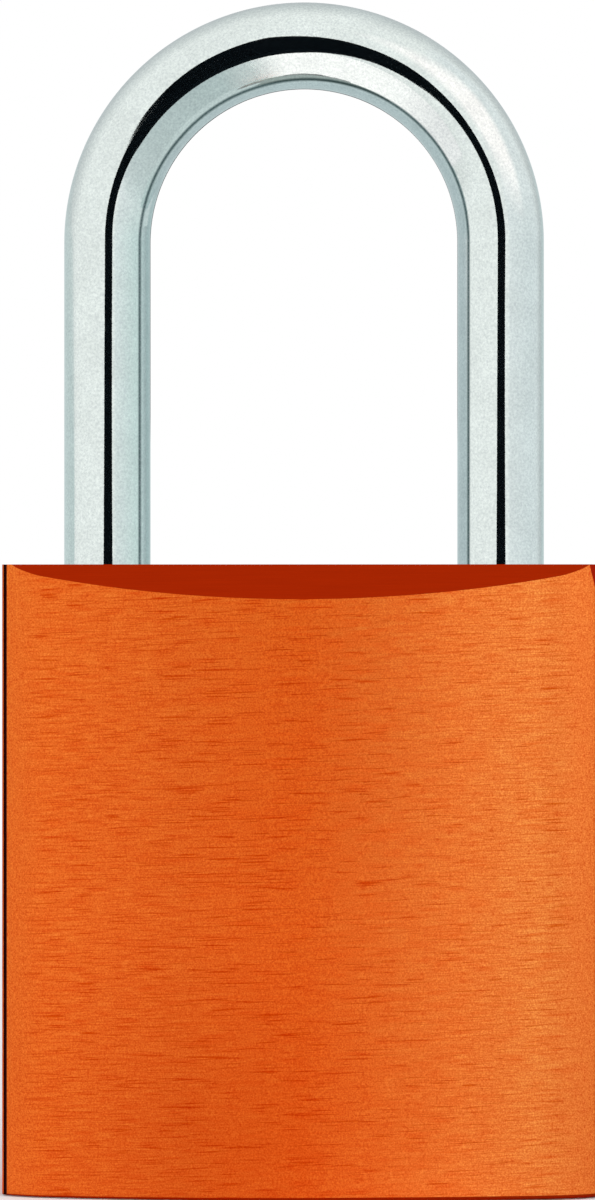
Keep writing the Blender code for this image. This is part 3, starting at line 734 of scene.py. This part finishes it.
def fine_copy(node, body_name, material):
    """The node's own shape, with whole faces, finely broken edges and smooth rounds."""
    bm = bmesh.new()
    bm.from_mesh(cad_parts[node].data)
    bmesh.ops.remove_doubles(bm, verts=bm.verts, dist=merge_distance)
    bmesh.ops.dissolve_limit(bm, angle_limit=flat_angle, verts=bm.verts, edges=bm.edges)
    sharp = [edge for edge in bm.edges if edge.is_manifold and edge.calc_face_angle() > sharp_angle]
    bmesh.ops.bevel(
        bm,
        geom=sharp,
        offset=fine_edge,
        segments=2,
        profile=0.5,
        affect="EDGES",
        material=-1,
        clamp_overlap=True,
    )
    obj = smoothed(piece(f"fine_{node}", bm, material))
    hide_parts(node)
    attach(obj, body_name)


nickel = worked_metal("nickel_plate", (0.66, 0.62, 0.54), (0.52, 0.48, 0.41), 0.26)
fine_copy("cylinder_case", "body", nickel)
fine_copy("spring_cover", "body", nickel)

# The plug is turned from brass. The keyway is broached through its face, and five pin chambers are drilled
# across it. An open clip of spring steel in a groove behind the case keeps it in.
brass_tones = (0.70, 0.50, 0.20), (0.55, 0.36, 0.13)
wire_marks = (0.05 * MM,) * 3
brass = worked_metal("turned_brass", *brass_tones, 0.28)
wire_steel = worked_metal("spring_wire", (0.36, 0.36, 0.37), (0.25, 0.25, 0.25), 0.36, wire_marks)
fine_copy("plug", "plug", brass)
fine_copy("plug_clip", "plug", wire_steel)

# Five brass key pins of unlike length lie in the plug, and five steel driver pins with a waist in the tower.
# They are turned on a small lathe and drop into their chambers.
pin_count = 5
ground_marks = (0.4 * MM, 0.4 * MM, 0.03 * MM)
lathe_marks = (0.2 * MM, 0.03 * MM, 0.2 * MM)
steel = worked_metal("ground_steel", (0.48, 0.49, 0.50), (0.36, 0.36, 0.36), 0.3, ground_marks)
pin_brass = worked_metal("pin_brass", *brass_tones, 0.3, lathe_marks)
for number in range(1, pin_count + 1):
    fine_copy(f"key_pin_{number}", f"key_pin_{number}", pin_brass)
    fine_copy(f"driver_pin_{number}", f"driver_pin_{number}", steel)

# The springs are wound from steel wire, one behind each driver pin and a larger one under the heel leg.
# They stay in their holes under slight load. The pins press theirs, and the large one lifts the shackle.
driver_wire = 0.13 * MM
driver_coil_radius = 0.82 * MM
driver_turns = 4.5
shackle_wire = 0.25 * MM
shackle_coil_radius = 1.65 * MM
shackle_turns = 6
wire_sides = 12
steps_per_turn = 32


def wound(coil_radius, wire, length, turns):
    """A coil along Z from 0 to length: the round wire is spun up from +X."""
    bm = bmesh.new()
    ring = bmesh.ops.create_circle(bm, segments=wire_sides, radius=wire)["verts"]
    bmesh.ops.rotate(bm, verts=ring, matrix=Matrix.Rotation(math.radians(90), 3, "X"))
    bmesh.ops.translate(bm, verts=ring, vec=(coil_radius, 0, wire))
    start = bm.edges[:]
    steps = round(steps_per_turn * turns)
    swept = bmesh.ops.spin(
        bm,
        geom=start,
        cent=(0, 0, 0),
        axis=(0, 0, 1),
        dvec=(0, 0, (length - 2 * wire) / steps),
        angle=2 * math.pi * turns,
        steps=steps,
    )["geom_last"]
    for loop in (start, only(bmesh.types.BMEdge, swept)):
        bmesh.ops.edgeloop_fill(bm, edges=loop)
    bmesh.ops.recalc_face_normals(bm, faces=bm.faces)
    return bm


def spring(node, bm):
    """A wound piece for the node, still to be joined to what it moves with."""
    obj = smoothed(piece(f"wound_{node}", bm, wire_steel))
    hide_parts(node)
    return obj


for number in range(1, pin_count + 1):
    low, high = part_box(f"driver_spring_{number}")
    length = high.x - low.x
    middle = (low.z + high.z) / 2
    coil = wound(driver_coil_radius, driver_wire, length, driver_turns)
    pressed = spring(f"driver_spring_{number}", placed(coil, low.x, 0, middle, along_x))
    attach(pressed, "body")
    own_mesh(pressed)
low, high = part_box("shackle_spring")
coil = wound(shackle_coil_radius, shackle_wire, high.z - low.z, shackle_turns)
lifting = spring("shackle_spring", placed(coil, -leg_x, 0, low.z))
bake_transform(lifting)

# The cam plate turns with the plug's tang, and its two spiral grooves draw the round steel bolts in and out.
# It is milled from steel, and each bolt has a post pressed in that runs in its groove.
fine_copy("cam_plate", "plug", steel)
fine_copy("bolt_heel", "bolt_heel", steel)
fine_copy("bolt_toe", "bolt_toe", steel)

# A steel pin pressed beside the heel leg's neck keeps the shackle in, and a screw holds the cylinder case.
# The screw goes in through the floor of the toe bore, so it can only be reached with the lock open.
fine_copy("shackle_retaining_pin", "body", steel)
fine_copy("cylinder_screw", "body", steel)

# The stage is a plain pale floor in a white studio, lit by two soft lamps.
# Paper cards round the lock are seen only in the chrome: dark ones before and behind it, grey ones behind,
# to its right and in place of its top, and white ones at its foot and above it.
floor_fade_start = 0.06
floor_fade_end = 0.35


def plane(name, corners, material):
    """One flat face of the stage."""
    bm = bmesh.new()
    bm.faces.new([bm.verts.new(corner) for corner in corners])
    obj = piece(name, bm, material)
    obj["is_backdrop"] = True
    return obj


def seen(tree):
    """1 to the camera and in mirrors and glass, 0 to light that lands on a plain surface."""
    path = tree.nodes.new("ShaderNodeLightPath")
    open_rays = reckoned(tree, "MAXIMUM", path.outputs["Is Camera Ray"], path.outputs["Is Glossy Ray"])
    return reckoned(tree, "MAXIMUM", open_rays, path.outputs["Is Transmission Ray"])


def joined(tree, factor, first, second):
    """Mixes two shaders into the material's surface."""
    node = tree.nodes.new("ShaderNodeMixShader")
    for value, socket in zip((factor, first, second), node.inputs):
        tree.links.new(value, socket)
    tree.links.new(node.outputs["Shader"], tree.nodes["Material Output"].inputs["Surface"])


def pale_floor():
    """Pale near the lock, where it takes the shadow, and fading to the white of the background."""
    material, tree, shader = finish("pale_floor", (0.9, 0.9, 0.9), 0, 0.7)
    place = tree.nodes.new("ShaderNodeTexCoord")
    fade = ranged(tree, distance(tree, place.outputs["Object"]), floor_fade_start, floor_fade_end)
    white = tree.nodes.new("ShaderNodeEmission")
    joined(tree, times(tree, fade, seen(tree)), shader.outputs["BSDF"], white.outputs["Emission"])
    return material


floor_half = 3.0
floor_z = -0.05 * MM
plane(
    "floor",
    [(x * floor_half, y * floor_half, floor_z) for x, y in ((-1, -1), (1, -1), (1, 1), (-1, 1))],
    pale_floor(),
)


def mirror_only(obj):
    """Leaves the object to be seen in mirrors alone."""
    obj.visible_camera = False
    obj.visible_diffuse = False
    obj.visible_shadow = False


def paper(name, colour, sides, soft, far):
    """Lit paper, with a soft border of the given width along its sides.

    Where far is given, it turns to that colour between two distances along the first side.
    """
    material = bpy.data.materials.new(name)
    material.use_nodes = True
    tree = material.node_tree
    place = tree.nodes.new("ShaderNodeUVMap")
    split = tree.nodes.new("ShaderNodeSeparateXYZ")
    tree.links.new(place.outputs["UV"], split.inputs["Vector"])
    whole = None
    for axis, side in zip("XY", sides):
        for rim, full in ((0, soft), (side, side - soft)):
            edge = ranged(tree, split.outputs[axis], rim, full)
            whole = times(tree, whole, edge) if whole else edge
    clear = tree.nodes.new("ShaderNodeBsdfTransparent")
    lit = tree.nodes.new("ShaderNodeEmission")
    if far:
        tone, start, end = far
        turning = ranged(tree, split.outputs["X"], start * MM, end * MM)
        tree.links.new(mixed(tree, turning, colour, tone), lit.inputs["Color"])
    else:
        lit.inputs["Color"].default_value = (*colour, 1)
    joined(tree, whole, clear.outputs["BSDF"], lit.outputs["Emission"])
    return material


def plain_paper(name, colour, glow):
    """Matt paper of one colour, with a glow that stands for the light on it."""
    material, _, shader = finish(name, colour, 0, 0.9)
    shader.inputs["Specular IOR Level"].default_value = 0
    shader.inputs["Emission Color"].default_value = (*glow, 1)
    shader.inputs["Emission Strength"].default_value = 1
    return material


def card(name, corner, along, up, colour, soft, far=None):
    """A paper card from one corner and its two sides, all in millimetres."""
    corner, along, up = (Vector(v) * MM for v in (corner, along, up))
    bm = bmesh.new()
    verts = [bm.verts.new(p) for p in (corner, corner + along, corner + along + up, corner + up)]
    face = bm.faces.new(verts)
    layer = bm.loops.layers.uv.new("paper")
    for loop, (u, v) in zip(face.loops, ((0, 0), (1, 0), (1, 1), (0, 1))):
        loop[layer].uv = (u * along.length, v * up.length)
    obj = piece(name, bm, paper(name, colour, (along.length, up.length), soft * MM, far))
    obj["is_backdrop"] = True
    mirror_only(obj)


card_y = -220 * MM
dark_upright = (
    (69, 0), (72, 14), (70, 21), (62, 31), (57, 40), (54, 50), (55, 58), (60, 66), (54, 76), (47, 84),
    (37, 91), (30, 106), (24, 119), (14, 122), (-8, 138), (-24, 156), (-38, 144), (-50, 133), (-54, 117),
    (-50, 97), (-36, 82), (-20, 71), (-20, 62), (-25, 53), (-28, 44), (-32, 36), (-36, 28), (-36, 17),
    (-31, 0),
)
dark_flat = ((-31, -220), (-17, -163), (-5, -132), (17, -129), (29, -143), (46, -170), (69, -220))
dark_flat_z = 0.3 * MM
dark_paper = plain_paper("dark_paper", (0.004, 0.006, 0.008), (0, 0, 0))
mirror_only(plane("dark_card", [(x * MM, card_y, z * MM) for x, z in dark_upright], dark_paper))
mirror_only(plane("dark_card_foot", [(x * MM, y * MM, dark_flat_z) for x, y in dark_flat], dark_paper))
card("grey_behind", (-1000, 80, -60), (1100, 0, 0), (0, 0, 150), (0.64, 0.72, 0.73), 40)
card("grey_floor_behind", (-600, -9, 0.15), (1200, 0, 0), (0, 209, 0), (0.66, 0.74, 0.75), 6)
card("dark_behind", (-10, 78, 41), (20, 0, 0), (0, 0, 36), (0.01, 0.013, 0.015), 2)
card(
    "grey_floor_right",
    (0, -2000, 0.1),
    (3000, 0, 0),
    (0, 2040, 0),
    (0.54, 0.62, 0.63),
    25,
    ((0.90, 0.92, 0.94), 30, 360),
)
card("pale_right", (350, -900, -200), (0, 1150, 0), (0, 0, 900), (0.90, 0.92, 0.94), 150)
card(
    "white_foot",
    (-130, -150, 0.2),
    (143, 0, 0),
    (0, 162, 0),
    (1.0, 0.96, 0.98),
    10,
    ((1.26, 1.2, 1.2), 60, 100),
)
card("white_above", (116, -303, 92), (182, 213, 0), (-100, 88, 190), (1.3, 1.2, 1.2), 70)

grey_top = (
    (4.8, 5.5), (3.7, -1.3), (0.5, -2.0), (-2.6, -1.35), (-6.1, 0.3), (-13, 1.6), (-13, 4.5), (-8, 6),
    (-3, 8.2), (2, 7.8),
)
grey_top_z = body_height - 0.2 * MM
grey_paper = plain_paper("grey_paper", (0, 0, 0), (0.39, 0.44, 0.43))
mirror_only(plane("grey_top", [(x * MM, y * MM, grey_top_z) for x, y in grey_top], grey_paper))

light_on_lock = 0.7


def studio_world():
    """White to the camera, greyer towards the back in the chrome, and softer as light on the lock."""
    world = bpy.data.worlds.new("studio")
    bpy.context.scene.world = world
    world.use_nodes = True
    tree = world.node_tree
    shader = tree.nodes["Background"]
    path = tree.nodes.new("ShaderNodeLightPath")
    back = ranged(tree, position(tree)[1], -0.1, 1)
    toned = mixed(tree, times(tree, back, path.outputs["Is Glossy Ray"]), (1, 1, 1), (0.52, 0.555, 0.575))
    tree.links.new(toned, shader.inputs["Color"])
    tree.links.new(ranged(tree, seen(tree), 0, 1, light_on_lock, 1), shader.inputs["Strength"])


def soft_lamp(name, place, size, power):
    """A square lamp that points at the middle of the body."""
    lamp = bpy.data.lights.new(name, "AREA")
    lamp.size = size
    lamp.energy = power
    obj = bpy.data.objects.new(name, lamp)
    obj.location = place
    aim = Vector((0, 0, body_height / 2)) - Vector(place)
    obj.rotation_euler = aim.to_track_quat("-Z", "Y").to_euler()
    obj.visible_camera = False
    obj.visible_glossy = False
    bpy.context.scene.collection.objects.link(obj)


studio_world()
soft_lamp("lamp_right", (0.5, -0.32, 0.25), 0.3, 2.3)
soft_lamp("lamp_left", (-0.5, -0.3, 0.3), 0.3, 0.45)

# The camera stands before the front face, a little to its right and at half the height of the lock.
# It looks level through a long lens, so the legs and the body's sides stay upright.
camera_data = bpy.data.cameras.new("camera")
camera_data.lens = 152
camera = bpy.data.objects.new("camera", camera_data)
camera_azimuth = math.radians(2.05)
camera_distance = 264 * MM
camera_shift = -0.323 * MM
camera_height = 30.48 * MM
camera.location = (
    camera_distance * math.sin(camera_azimuth) + camera_shift * math.cos(camera_azimuth),
    -camera_distance * math.cos(camera_azimuth) + camera_shift * math.sin(camera_azimuth),
    camera_height,
)
camera.rotation_euler = (math.radians(90), 0, camera_azimuth)
bpy.context.scene.collection.objects.link(camera)
bpy.context.scene.camera = camera
bpy.context.scene.view_settings.view_transform = "Standard"

low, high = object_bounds()
